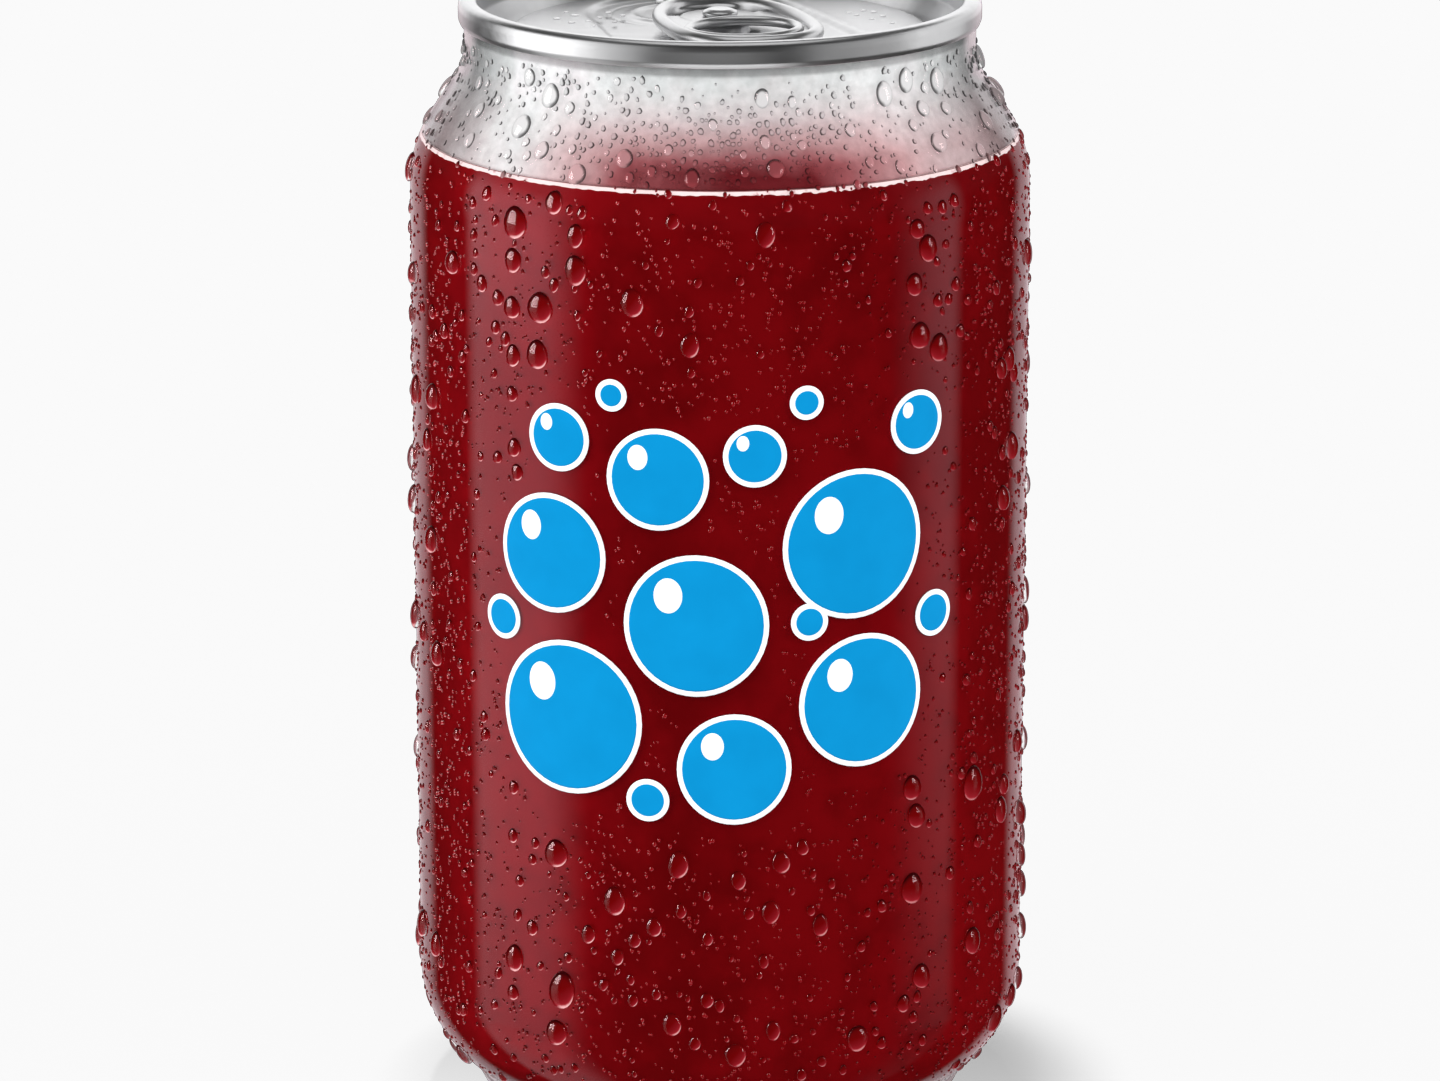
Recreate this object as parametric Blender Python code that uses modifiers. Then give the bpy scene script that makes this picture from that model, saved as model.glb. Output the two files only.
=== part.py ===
"""A clear plastic drinks can with a seamed aluminium easy-open end, filled with a dark red drink.

Blender 4.5, metres, +Z up. The origin is the centre of the foot, on the surface that the can
stands on. The can's axis is Z, and the finger end of the pull tab points to -Y.
"""

import bmesh
import bpy
from math import acos, cos, pi, radians, sin

MM = 0.001
GAP = 0.3 * MM  # clearance between pieces that touch in the real can

# Overall sizes: a 330 ml can, 66 mm across, under a 202 end.
CAN_HEIGHT = 122.5 * MM
BODY_RADIUS = 33.0 * MM
NECK_RADIUS = 27.1 * MM
SEAM_RADIUS = 27.7 * MM
SEAM_HEIGHT = 2.7 * MM
SIDES = 56

# Body: a blown plastic cup with a necked-in top and a thick clear base.
BODY_WALL = 0.8 * MM
NECK_WALL = 0.7 * MM
NECK_FOOT_Z = 117.6 * MM
SHOULDER_ANGLE = radians(33.2)
NECK_BEND = 7.3 * MM
SHOULDER_BEND = 13.2 * MM
CHIME_TOP_Z = 15.5 * MM
CHIME_BEND = 12.5 * MM
CHIME_ANGLE = radians(53)
CHIME_WET_ANGLE = radians(23)  # how far down the chime the drink reaches
CORNER_END_ANGLE = radians(78)
FOOT_TOP_RADIUS = 27.5 * MM
FOOT_TOP_Z = 4.9 * MM
FOOT_RADIUS = 25.0 * MM
FOOT_ROUND = 0.7 * MM
STANDING_RING_INNER = 22.6 * MM
BASE_DOME_HEIGHT = 8.5 * MM
BASE_FLOOR = 2.2 * MM  # thickness of plastic above the dome
BASE_CORNER = 3.0 * MM

# Drink: filled into the shoulder.
DRINK_LEVEL = 107.5 * MM

# Easy-open end.
END_WALL = 0.4 * MM
CHUCK_RADIUS = NECK_RADIUS - NECK_WALL - GAP  # outside of the wall that plugs the neck
GROOVE_BEND = 0.9 * MM
GROOVE_BOTTOM_Z = CAN_HEIGHT - 6.5 * MM
PANEL_RADIUS = 22.3 * MM
PANEL_Z = CAN_HEIGHT - 3.5 * MM
PANEL_BEND = 0.7 * MM
PANEL_WALL = 0.9 * MM
SEAM_BEND = 0.9 * MM
SKIRT = SEAM_RADIUS - NECK_RADIUS - GAP  # thickness of the seam's outer wall

# The end is seamed on with its finger end turned a little towards +X.
END_TURN = radians(17)

# The shallow pan pressed into the panel: two circles and their common tangents.
PAN_DEPTH = 0.4 * MM
PAN_FINGER_RADIUS = 12.8 * MM
PAN_FINGER_Y = -7.6 * MM
PAN_MOUTH_RADIUS = 11.5 * MM
PAN_MOUTH_Y = 8.8 * MM

# Pull tab, riveted at its own origin; lengths along the tab run towards the finger end.
TAB_FINGER_END = 17.9 * MM
TAB_NOSE_END = 7.4 * MM
TAB_HALF_WIDTH = 8.1 * MM
TAB_TAPER = 0.1
TAB_SQUARENESS = 2.5
TAB_CURL_RADIUS = 0.8 * MM
TAB_CURL_Z = PANEL_Z + 1.4 * MM
TAB_WEB = 0.6 * MM
TAB_WEB_Z = TAB_CURL_Z - TAB_CURL_RADIUS / 2
HOLE_CENTRE = 8.5 * MM
HOLE_HALF_WIDTH = 5.3 * MM
HOLE_HALF_LENGTH = 4.6 * MM
HOLE_CURL_RADIUS = 0.55 * MM
SLOT_RADIUS = 4.9 * MM
SLOT_HALF_WIDTH = 0.6 * MM
SLOT_HALF_ANGLE = radians(74)

# The rivet is drawn up out of the panel: a boss that carries the tab, a shank and a head.
RIVET_BOSS_RADIUS = 3.0 * MM
RIVET_BOSS_Z = TAB_WEB_Z - TAB_WEB / 2 - GAP
RIVET_SHANK_RADIUS = 1.3 * MM
RIVET_HEAD_RADIUS = 1.9 * MM
RIVET_HEAD = 0.5 * MM
RIVET_TOP_Z = TAB_WEB_Z + TAB_WEB / 2 + GAP + RIVET_HEAD



def collection(name):
    """A collection in the scene, made if it isn't there."""
    made = bpy.data.collections.get(name)
    if made is None:
        made = bpy.data.collections.new(name)
        bpy.context.scene.collection.children.link(made)
    return made


def put(name, data, group):
    """A new object for data, in the collection called group."""
    made = bpy.data.objects.new(name, data)
    collection(group).objects.link(made)
    return made


def material(name, colour, roughness, metallic=0.0, transmission=0.0, ior=1.5):
    """A Principled material."""
    made = bpy.data.materials.new(name)
    made.use_nodes = True
    shader = made.node_tree.nodes["Principled BSDF"]
    shader.inputs["Base Color"].default_value = (*colour, 1)
    shader.inputs["Roughness"].default_value = roughness
    shader.inputs["Metallic"].default_value = metallic
    shader.inputs["Transmission Weight"].default_value = transmission
    shader.inputs["IOR"].default_value = ior
    made.diffuse_color = (*colour, 1)
    return made


def arc(centre, radius, start, end, steps):
    """Points (r, z) on a circle about centre, from the angle start to the angle end."""
    angles = [start + (end - start) * n / steps for n in range(steps + 1)]
    return [(centre[0] + radius * cos(a), centre[1] + radius * sin(a)) for a in angles]


def turned(name, profile, finish):
    """A solid of revolution about Z from a profile of (r, z) that ends on the axis at both ends."""
    mesh = bpy.data.meshes.new(name)
    points = [(r, 0, z) for r, z in profile]
    mesh.from_pydata(points, [(n, n + 1) for n in range(len(points) - 1)], [])
    made = put(name, mesh, "soda_can")
    screw = made.modifiers.new("turn", "SCREW")
    screw.axis = "Z"
    screw.angle = 2 * pi
    screw.steps = SIDES
    screw.render_steps = SIDES
    screw.use_merge_vertices = True
    screw.merge_threshold = 0.000001
    screw.use_smooth_shade = True
    weld = made.modifiers.new("close_poles", "WELD")
    weld.merge_threshold = 0.000001
    mesh.materials.append(finish)
    return made


def outline(name, loops, half_height, z):
    """A flat plate of the outer loop with the other loops as holes, centred on the height z."""
    data = bpy.data.curves.new(name, "CURVE")
    data.dimensions = "2D"
    data.fill_mode = "BOTH"
    data.extrude = half_height
    for loop in loops:
        add_loop(data, loop)
    made = put(name, data, "guides")
    made.location.z = z
    return made


def ring_tube(name, loop, radius, z):
    """A closed round bar along a flat loop, centred on the height z."""
    data = bpy.data.curves.new(name, "CURVE")
    data.dimensions = "3D"
    data.bevel_depth = radius
    data.bevel_resolution = 2
    add_loop(data, loop)
    made = put(name, data, "guides")
    made.location.z = z
    return made


def add_loop(data, loop):
    """Adds a closed straight-sided spline through the points (x, y) of loop."""
    spline = data.splines.new("POLY")
    spline.points.add(len(loop) - 1)
    for point, (x, y) in zip(spline.points, loop):
        point.co = (x, y, 0, 1)
    spline.use_cyclic_u = True


def as_mesh(source):
    """Turns a curve object into a welded mesh object in the same place, and removes the curve."""
    graph = bpy.context.evaluated_depsgraph_get()
    mesh = bpy.data.meshes.new_from_object(source.evaluated_get(graph))
    edit = bmesh.new()
    edit.from_mesh(mesh)
    bmesh.ops.remove_doubles(edit, verts=edit.verts, dist=0.000001)
    bmesh.ops.recalc_face_normals(edit, faces=edit.faces)
    edit.to_mesh(mesh)
    edit.free()
    made = put(source.name + "_mesh", mesh, "guides")
    made.matrix_world = source.matrix_world
    bpy.data.objects.remove(source)
    return made


def as_guide(made):
    """Marks an object as a cutter or a guide, which is not part of the can."""
    made.hide_render = True
    made.display_type = "WIRE"
    return made


def boolean(target, tool, operation):
    """Joins or cuts target with tool by a live modifier."""
    step = target.modifiers.new(tool.name, "BOOLEAN")
    step.object = tool
    step.operation = operation


def shoulder(neck_radius, body_radius, neck_bend, body_bend):
    """The S-curve from the neck down to the body: an arc, a cone and an arc, tangent to each other."""
    turn = SHOULDER_ANGLE
    spread = body_radius - neck_radius
    cone = (spread - (neck_bend + body_bend) * (1 - cos(turn))) / sin(turn)
    upper = arc((neck_radius + neck_bend, NECK_FOOT_Z), neck_bend, pi, pi + turn, 4)
    end_r, end_z = upper[-1]
    end_r += cone * sin(turn)
    end_z -= cone * cos(turn)
    centre = (end_r - body_bend * cos(turn), end_z - body_bend * sin(turn))
    return upper + arc(centre, body_bend, turn, 0, 5)


def base_dome(rim_radius, rim_z, height, steps):
    """A spherical dome's profile, from its rim up to its top on the axis."""
    radius = (rim_radius**2 + height**2) / (2 * height)
    half_angle = acos(1 - height / radius)
    centre = (0, rim_z + height - radius)
    points = arc(centre, radius, pi / 2 - half_angle, pi / 2, steps)
    return points[:-1] + [(0, rim_z + height)]


def outer_shoulder():
    """The shoulder's outside, from the neck down."""
    return shoulder(NECK_RADIUS, BODY_RADIUS, NECK_BEND, SHOULDER_BEND)


def inner_shoulder():
    """The shoulder's inside, from the neck down."""
    inner_neck = NECK_RADIUS - NECK_WALL
    inner_radius = BODY_RADIUS - BODY_WALL
    return shoulder(inner_neck, inner_radius, NECK_BEND + NECK_WALL, SHOULDER_BEND - BODY_WALL)


def inner_base(clear):
    """The cup's inside below the wall, drawn in by clear: chime, corner, and the floor up to the axis."""
    bend = CHIME_BEND - clear
    corner = BASE_CORNER - clear
    chime_centre = (BODY_RADIUS - BODY_WALL - CHIME_BEND, CHIME_TOP_Z)
    chime = arc(chime_centre, bend, 0, -CHIME_WET_ANGLE, 3)
    edge_r, edge_z = chime[-1]
    corner_centre = (edge_r - corner * cos(CHIME_WET_ANGLE), edge_z + corner * sin(CHIME_WET_ANGLE))
    corner_points = arc(corner_centre, corner, -CHIME_WET_ANGLE, -CORNER_END_ANGLE, 4)
    floor_r, floor_z = corner_points[-1]
    floor = base_dome(floor_r, floor_z, BASE_DOME_HEIGHT + BASE_FLOOR + clear - floor_z, 4)
    return chime + corner_points[1:] + floor[1:]


def body_profile():
    """The plastic cup: inner floor, inner wall, neck, outer wall, chime, foot and domed underside."""
    inside = inner_base(0)[::-1] + inner_shoulder()[::-1]
    top_z = CAN_HEIGHT - END_WALL - GAP
    neck = [(NECK_RADIUS - NECK_WALL, top_z), (NECK_RADIUS, top_z)]
    chime = arc((BODY_RADIUS - CHIME_BEND, CHIME_TOP_Z), CHIME_BEND, 0, -CHIME_ANGLE, 7)
    foot_edge = arc((FOOT_RADIUS - FOOT_ROUND, FOOT_ROUND), FOOT_ROUND, 0, -pi / 2, 3)
    underside = base_dome(STANDING_RING_INNER, 0, BASE_DOME_HEIGHT, 5)
    outside = outer_shoulder() + chime + [(FOOT_TOP_RADIUS, FOOT_TOP_Z)] + foot_edge + underside
    return inside + neck + outside


def drink_profile():
    """The drink: what the cup holds up to the drink's level, a clearance inside the wall."""
    wet = [(r - GAP, z) for r, z in inner_shoulder() if z < DRINK_LEVEL]
    level = [(0, DRINK_LEVEL), (wall_radius_at(DRINK_LEVEL) - GAP, DRINK_LEVEL)]
    return level + wet + inner_base(GAP)


def wall_radius_at(z):
    """The inside radius of the cup's shoulder at the height z."""
    points = inner_shoulder()
    for (r_above, z_above), (r_below, z_below) in zip(points, points[1:]):
        if z_below <= z <= z_above:
            return r_below + (r_above - r_below) * (z - z_below) / (z_above - z_below)
    return BODY_RADIUS - BODY_WALL


def rivet_profile():
    """The rivet drawn up from the panel: a low head with a chamfered edge, a shank and a boss."""
    chamfer = 0.3 * RIVET_HEAD
    under_head_z = RIVET_TOP_Z - RIVET_HEAD
    head = [(0, RIVET_TOP_Z), (RIVET_HEAD_RADIUS - chamfer, RIVET_TOP_Z)]
    head += [(RIVET_HEAD_RADIUS, RIVET_TOP_Z - chamfer), (RIVET_HEAD_RADIUS, under_head_z)]
    shank = [(RIVET_SHANK_RADIUS, under_head_z), (RIVET_SHANK_RADIUS, RIVET_BOSS_Z)]
    return head + shank + [(RIVET_BOSS_RADIUS, RIVET_BOSS_Z), (RIVET_BOSS_RADIUS, PANEL_Z)]


def end_profile():
    """The end: rivet, panel, groove, chuck wall, seam and skirt, then back underneath to the axis."""
    groove_centre = (PANEL_RADIUS + GROOVE_BEND, GROOVE_BOTTOM_Z + GROOVE_BEND)
    chuck_top_z = CAN_HEIGHT - SEAM_HEIGHT
    crown_z = CAN_HEIGHT - SEAM_BEND
    chuck_inner = CHUCK_RADIUS - END_WALL

    top = rivet_profile()
    top += arc((PANEL_RADIUS - PANEL_BEND, PANEL_Z - PANEL_BEND), PANEL_BEND, pi / 2, 0, 2)
    top += arc(groove_centre, GROOVE_BEND, pi, 2 * pi, 5)
    top += [(chuck_inner, chuck_top_z)]
    top += arc((chuck_inner + SEAM_BEND, crown_z), SEAM_BEND, pi, pi / 2, 3)
    top += arc((SEAM_RADIUS - SEAM_BEND, crown_z), SEAM_BEND, pi / 2, 0, 3)

    skirt_inner = SEAM_RADIUS - SKIRT
    under_seam_z = CAN_HEIGHT - END_WALL
    skirt = [(SEAM_RADIUS, chuck_top_z + SKIRT), (SEAM_RADIUS - SKIRT / 2, chuck_top_z)]
    skirt += [(skirt_inner, chuck_top_z), (skirt_inner, under_seam_z), (CHUCK_RADIUS, under_seam_z)]

    under_panel_z = PANEL_Z - PANEL_WALL
    under = [(CHUCK_RADIUS, chuck_top_z)]
    under += arc(groove_centre, GROOVE_BEND + END_WALL, 2 * pi, pi, 4)
    under += [(PANEL_RADIUS - END_WALL, under_panel_z - PANEL_BEND)]
    under += [(PANEL_RADIUS - END_WALL - PANEL_BEND, under_panel_z), (0, under_panel_z)]
    return top + skirt + under


def easy_open_end(finish):
    """The end as one turned piece, with the pan pressed into its panel round the rivet."""
    made = turned("can_end", end_profile(), finish)
    boss = arc((0, 0), RIVET_BOSS_RADIUS, 0, 2 * pi, SIDES)[:-1]
    cutter = as_guide(as_mesh(outline("pan", [pan_loop(), boss], PAN_DEPTH, PANEL_Z)))
    cutter.rotation_euler.z = END_TURN
    boolean(made, cutter, "DIFFERENCE")


def pan_loop():
    """The pan's outline: the finger end's large circle and the mouth's smaller one, and their tangents."""
    lean = acos((PAN_FINGER_RADIUS - PAN_MOUTH_RADIUS) / (PAN_MOUTH_Y - PAN_FINGER_Y))
    mouth = arc((0, PAN_MOUTH_Y), PAN_MOUTH_RADIUS, pi / 2 - lean, pi / 2 + lean, 14)
    finger = arc((0, PAN_FINGER_Y), PAN_FINGER_RADIUS, pi / 2 + lean, 2.5 * pi - lean, 14)
    return mouth + finger


def rounded_power(value, exponent):
    """value to a power, keeping its sign."""
    return abs(value) ** exponent * (1 if value >= 0 else -1)


def tab_loop(inset, steps):
    """The tab's egg-shaped outline, a superellipse that is wider at the finger end, drawn in by inset."""
    middle = (TAB_FINGER_END - TAB_NOSE_END) / 2
    half_length = (TAB_FINGER_END + TAB_NOSE_END) / 2 - inset
    half_width = TAB_HALF_WIDTH - inset
    power = 2 / TAB_SQUARENESS
    loop = []
    for n in range(steps):
        angle = 2 * pi * n / steps
        along = middle + half_length * rounded_power(cos(angle), power)
        across = half_width * rounded_power(sin(angle), power) * (1 + TAB_TAPER * cos(angle))
        loop.append((across, -along))
    return loop


def finger_hole_loop(grow, steps):
    """The finger hole: an oval, wider than it is long, enlarged by grow."""
    angles = [2 * pi * n / steps for n in range(steps)]
    wide = HOLE_HALF_WIDTH + grow
    long = HOLE_HALF_LENGTH + grow
    return [(wide * cos(a), -HOLE_CENTRE + long * sin(a)) for a in angles]


def tongue_slot_loop():
    """The slot behind the rivet that frees the tongue: a strip along an arc round the rivet."""
    start = pi / 2 - SLOT_HALF_ANGLE
    end = pi / 2 + SLOT_HALF_ANGLE
    outer = arc((0, 0), SLOT_RADIUS + SLOT_HALF_WIDTH, start, end, 10)
    inner = arc((0, 0), SLOT_RADIUS - SLOT_HALF_WIDTH, end, start, 10)
    return outer + inner


def pull_tab(finish):
    """The tab: a flat web with the finger hole, tongue slot and rivet hole, and curled edges."""
    rivet_hole = arc((0, 0), RIVET_SHANK_RADIUS + GAP, 0, 2 * pi, 16)[:-1]
    edge_loop = finger_hole_loop(HOLE_CURL_RADIUS, 20)
    web_loops = [tab_loop(TAB_CURL_RADIUS, 36), edge_loop, tongue_slot_loop(), rivet_hole]
    web = as_mesh(outline("web", web_loops, TAB_WEB / 2, TAB_WEB_Z))
    rim = as_mesh(ring_tube("rim", tab_loop(TAB_CURL_RADIUS, 36), TAB_CURL_RADIUS, TAB_CURL_Z))
    edge_z = TAB_WEB_Z + 0.4 * TAB_WEB
    hole_edge = as_mesh(ring_tube("hole_edge", edge_loop, HOLE_CURL_RADIUS, edge_z))
    web.name = "pull_tab"
    collection("guides").objects.unlink(web)
    collection("soda_can").objects.link(web)
    web.data.materials.append(finish)
    for piece in (rim, hole_edge):
        boolean(web, as_guide(piece), "UNION")
    web.rotation_euler.z = END_TURN
    for piece in (rim, hole_edge):
        piece.rotation_euler.z = END_TURN
    return web


def build():
    """Clears the scene and makes the can."""
    for old in list(bpy.data.objects):
        bpy.data.objects.remove(old)
    clear_plastic = material("clear_plastic", (0.95, 0.96, 0.97), 0.04, transmission=1.0, ior=1.57)
    red_drink = material("red_drink", (0.16, 0.0013, 0.0023), 0.05)
    aluminium = material("aluminium", (0.80, 0.80, 0.81), 0.22, metallic=1.0)
    tab_aluminium = material("tab_aluminium", (0.82, 0.82, 0.83), 0.18, metallic=1.0)
    turned("can_body", body_profile(), clear_plastic)
    turned("drink", drink_profile(), red_drink)
    easy_open_end(aluminium)
    pull_tab(tab_aluminium)


build()
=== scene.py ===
"""The looks of a cold clear can of red drink: plastic body, drink, print, end, pull tab and dew.

Lengths are in millimetres while a shape is worked out and become metres in put(). The can's axis
is Z, its foot stands on z = 0, and the finger end of the tab points to -Y, at the camera.
"""

import bpy
import numpy as np
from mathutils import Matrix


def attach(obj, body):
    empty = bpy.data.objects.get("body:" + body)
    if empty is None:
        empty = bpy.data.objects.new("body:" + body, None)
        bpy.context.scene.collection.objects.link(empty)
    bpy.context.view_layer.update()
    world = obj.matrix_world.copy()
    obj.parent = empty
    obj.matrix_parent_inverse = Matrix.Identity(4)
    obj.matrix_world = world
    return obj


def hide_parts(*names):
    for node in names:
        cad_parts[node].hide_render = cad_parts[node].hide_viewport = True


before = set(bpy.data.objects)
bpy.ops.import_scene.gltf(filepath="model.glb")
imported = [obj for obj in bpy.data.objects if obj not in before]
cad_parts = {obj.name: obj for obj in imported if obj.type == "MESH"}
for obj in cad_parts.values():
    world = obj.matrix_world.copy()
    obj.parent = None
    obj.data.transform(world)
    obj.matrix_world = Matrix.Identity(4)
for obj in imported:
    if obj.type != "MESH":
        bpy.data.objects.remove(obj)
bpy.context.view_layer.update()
scene = bpy.context.scene
MM = 0.001


# The body is a blown cup of clear plastic, 0.8 mm thick, with a thick base on a narrow foot and a
# shoulder that is drawn in to the neck. The end is seamed onto the neck.
BODY_RADIUS = 33.0
NECK_RADIUS = 27.1
NECK_TOP = 121.8
WALL = 0.8
NECK_WALL = 0.7
OUTER_CORNERS = [
    (NECK_RADIUS, NECK_TOP, 0.0), (NECK_RADIUS, NECK_TOP - 0.1, 0.0), (NECK_RADIUS, 115.42, 7.3),
    (BODY_RADIUS, 106.41, 13.2), (BODY_RADIUS, 9.27, 12.5), (28.02, 5.52, 0.6),
    (27.45, 4.8, 0.8), (25.1, 0.15, 0.9), (24.2, 0.0, 0.3),
    (22.8, 0.0, 0.3),
]
UNDER_DOME_RIM = (22.4, 0.15)
UNDER_DOME_TOP = 8.5
INNER_CORNERS = [
    (29.07, 8.85, 0.0), (31.0, 9.35, 2.2),
    (32.2, 13.0, 6.0), (BODY_RADIUS - WALL, 106.1, 12.4),
    (NECK_RADIUS - NECK_WALL, 115.36, 8.0), (NECK_RADIUS - NECK_WALL, NECK_TOP - 0.1, 0.0),
    (NECK_RADIUS - NECK_WALL, NECK_TOP, 0.0),
]
FLOOR_TOP = 10.7


def spun(x, y, angle):
    """The place (x, y) turned by an angle: (x cos a - y sin a, x sin a + y cos a)."""
    c, s = np.cos(angle), np.sin(angle)
    return np.stack([x * c - y * s, x * s + y * c], axis=-1)


def bent(corners, steps):
    """A profile whose corners (radius, height, bend) are rounded off.

    A corner gives way to an arc that touches both of its sides. The arc starts bend times the
    tangent of half the turn before the corner, and each of its points is the arc's centre plus
    the starting spoke turned by an equal share of the whole turn.
    """
    points = np.array([(r, z) for r, z, _ in corners], float)
    parts = [points[:1]]
    for before, (here, bend), after in zip(
        points, zip(points[1:-1], [c[2] for c in corners[1:-1]]), points[2:]
    ):
        way_in = (here - before) / np.linalg.norm(here - before)
        way_out = (after - here) / np.linalg.norm(after - here)
        cross = way_in[0] * way_out[1] - way_in[1] * way_out[0]
        turn = np.arctan2(cross, way_in @ way_out)
        if bend == 0 or abs(turn) < 1e-6:
            parts.append(here[None])
            continue
        start = here - way_in * bend * np.tan(abs(turn) / 2)
        side = np.sign(cross) * np.array([-way_in[1], way_in[0]])
        centre = start + side * bend
        parts.append(centre + spun(*(start - centre), np.linspace(0, turn, steps)))
    parts.append(points[-1:])
    return np.concatenate(parts)


def dome(rim, top, steps):
    """A spherical cap's profile from its rim (radius, height) to its top on the axis.

    The height over the rim follows the circle through both: radius**2 = 2 * R * drop - drop**2.
    """
    rise = top - rim[1]
    ball = (rim[0] ** 2 + rise**2) / (2 * rise)
    radii = np.linspace(rim[0], 0, steps)
    return np.stack([radii, top - ball + np.sqrt(ball**2 - radii**2)], axis=1)


def put(name, points, faces, body="root"):
    """A smooth mesh object that rides on a body, from points in millimetres and arrays of faces."""
    mesh = bpy.data.meshes.new(name)
    lists = [face for group in faces for face in np.asarray(group).tolist()]
    mesh.from_pydata((np.asarray(points, float) * MM).tolist(), [], lists)
    mesh.shade_smooth()
    made = bpy.data.objects.new(name, mesh)
    scene.collection.objects.link(made)
    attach(made, body)
    return made


def grid_faces(rows, columns, close_rows=False, first=0):
    """The quads of a grid that is closed along its columns, and along its rows if asked."""
    n = np.arange(rows if close_rows else rows - 1)
    m = np.arange(columns)
    i, j = np.meshgrid(n, m, indexing="ij")
    down, right = (i + 1) % rows, (j + 1) % columns
    quads = np.stack(
        [i * columns + j, down * columns + j, down * columns + right, i * columns + right], axis=-1
    )
    return first + quads.reshape(-1, 4)


def capped(rings, sides):
    """Faces of rings from a top pole to a bottom pole, which are the two points after the rings."""
    here = np.arange(sides)
    after = (here + 1) % sides
    last = (rings - 1) * sides
    top = np.stack([here, after, np.full(sides, rings * sides)], axis=1)
    bottom = np.stack([last + after, last + here, np.full(sides, rings * sides + 1)], axis=1)
    return [grid_faces(rings, sides), np.concatenate([top, bottom])]


def copies(faces, count, size):
    """The faces of an item, repeated for so many items of size points each."""
    starts = np.arange(count)[:, None, None] * size
    return [(starts + group).reshape(-1, group.shape[1]) for group in faces]


def full_turn(sides):
    """The angles of so many equal steps round a circle, from 0."""
    return np.linspace(0, 2 * np.pi, sides, endpoint=False)


def swept(profile, sides):
    """A profile's points (r, z) turned about Z: (r cos a, r sin a, z) for equal steps of a."""
    angles = full_turn(sides)
    radii, heights = profile[:, :1], profile[:, 1:]
    points = [radii * np.cos(angles), radii * np.sin(angles), np.repeat(heights, sides, axis=1)]
    return np.stack(points, axis=-1).reshape(-1, 3)


def turned(profile, sides):
    """Points and faces of a profile turned about Z, closed by a pole at both of its ends."""
    poles = [[0, 0, profile[0, 1]], [0, 0, profile[-1, 1]]]
    points = np.concatenate([swept(profile[1:-1], sides), poles])
    return points, capped(len(profile) - 2, sides)


def hoop(loop, sides):
    """Points and faces of a closed loop (radius, height) turned about Z.

    The loop runs down on its outside and up on its inside.
    """
    return swept(loop, sides), [grid_faces(len(loop), sides, close_rows=True)]


def smooth(value, low, high):
    """0 below low, 1 above high and t**2 (3 - 2t) between, with t the share of the way."""
    t = np.clip((value - low) / (high - low), 0, 1)
    return t * t * (3 - 2 * t)


def paint(piece, name, values):
    """Keeps a value for each point of a piece under a name that its material reads."""
    kept = piece.data.attributes.new(name, "FLOAT", "POINT")
    kept.data.foreach_set("value", np.asarray(values, np.float32))


def hide(pieces, *rays):
    """Leaves pieces out of these kinds of rays, such as shadow."""
    for piece in pieces:
        for ray in rays:
            setattr(piece, "visible_" + ray, False)


class Shade:
    """A socket of a shader. Arithmetic on it adds Math nodes, and node() adds any other node."""

    def __init__(self, tree, socket=None):
        self.tree = tree
        self.socket = socket

    def feed(self, target, value):
        """Links a Shade to a socket, or sets the socket to a number or a tuple."""
        if isinstance(value, Shade):
            self.tree.links.new(value.socket, target)
        else:
            target.default_value = value

    def node(self, kind, settings=(), inputs=(), output=0):
        """Adds a node: its settings come first, then its inputs, and one output is returned."""
        made = self.tree.nodes.new(kind)
        for name, value in dict(settings).items():
            if name == "stops":
                for _ in value[2:]:
                    made.color_ramp.elements.new(0.5)
                for element, (place, colour) in zip(made.color_ramp.elements, value):
                    element.position = place
                    element.color = colour
            else:
                setattr(made, name, value)
        for name, value in dict(inputs).items():
            self.feed(made.inputs[name], value)
        return Shade(self.tree, made.outputs[output])

    def give(self, name, value):
        """Feeds an input of the material's Principled shader."""
        self.feed(self.tree.nodes["Principled BSDF"].inputs[name], value)

    def roughen(self, height, distance):
        """Feeds a height field through a Bump node to the shader's Normal."""
        bump = self.node("ShaderNodeBump", {}, {"Height": height, "Distance": distance})
        self.give("Normal", bump)

    def math(self, operation, *values):
        """A Math node on these values."""
        return self.node("ShaderNodeMath", {"operation": operation}, dict(enumerate(values)))

    def __add__(self, other):
        return self.math("ADD", self, other)

    def __sub__(self, other):
        return self.math("SUBTRACT", self, other)

    def __rsub__(self, other):
        return self.math("SUBTRACT", other, self)

    def __mul__(self, other):
        return self.math("MULTIPLY", self, other)

    __radd__ = __add__
    __rmul__ = __mul__

    def step(self, low, high):
        """0 below low, 1 above high, and smooth between. It falls where high is under low."""
        return self.node(
            "ShaderNodeMapRange",
            {"interpolation_type": "SMOOTHSTEP"},
            {"Value": self, "From Min": low, "From Max": high},
        )

    def mix(self, colour_a, colour_b):
        """colour_a where this is 0 and colour_b where it is 1."""
        inputs = {0: self, 6: colour_a, 7: colour_b}
        return self.node("ShaderNodeMix", {"data_type": "RGBA"}, inputs, output=2)

    def ramp(self, stops):
        """The colour that these stops (place, colour) give this value."""
        return self.node("ShaderNodeValToRGB", {"stops": stops}, {0: self})

    def scaled(self, factor):
        """This colour times a number."""
        inputs = {0: self, "Scale": factor}
        return self.node("ShaderNodeVectorMath", {"operation": "SCALE"}, inputs)

    def painted(self, name):
        """The value that paint() kept at each point."""
        return self.node("ShaderNodeAttribute", {"attribute_name": name}, output=2)

    def noise(self, scale, detail=2.0, stretch=(1, 1, 1)):
        """Soft noise on the piece's own coordinates, scale in waves a metre."""
        place = self.node("ShaderNodeTexCoord", output="Object")
        place = self.node("ShaderNodeMapping", {}, {"Vector": place, "Scale": stretch})
        inputs = {"Vector": place, "Scale": scale, "Detail": detail}
        return self.node("ShaderNodeTexNoise", {}, inputs)


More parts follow.
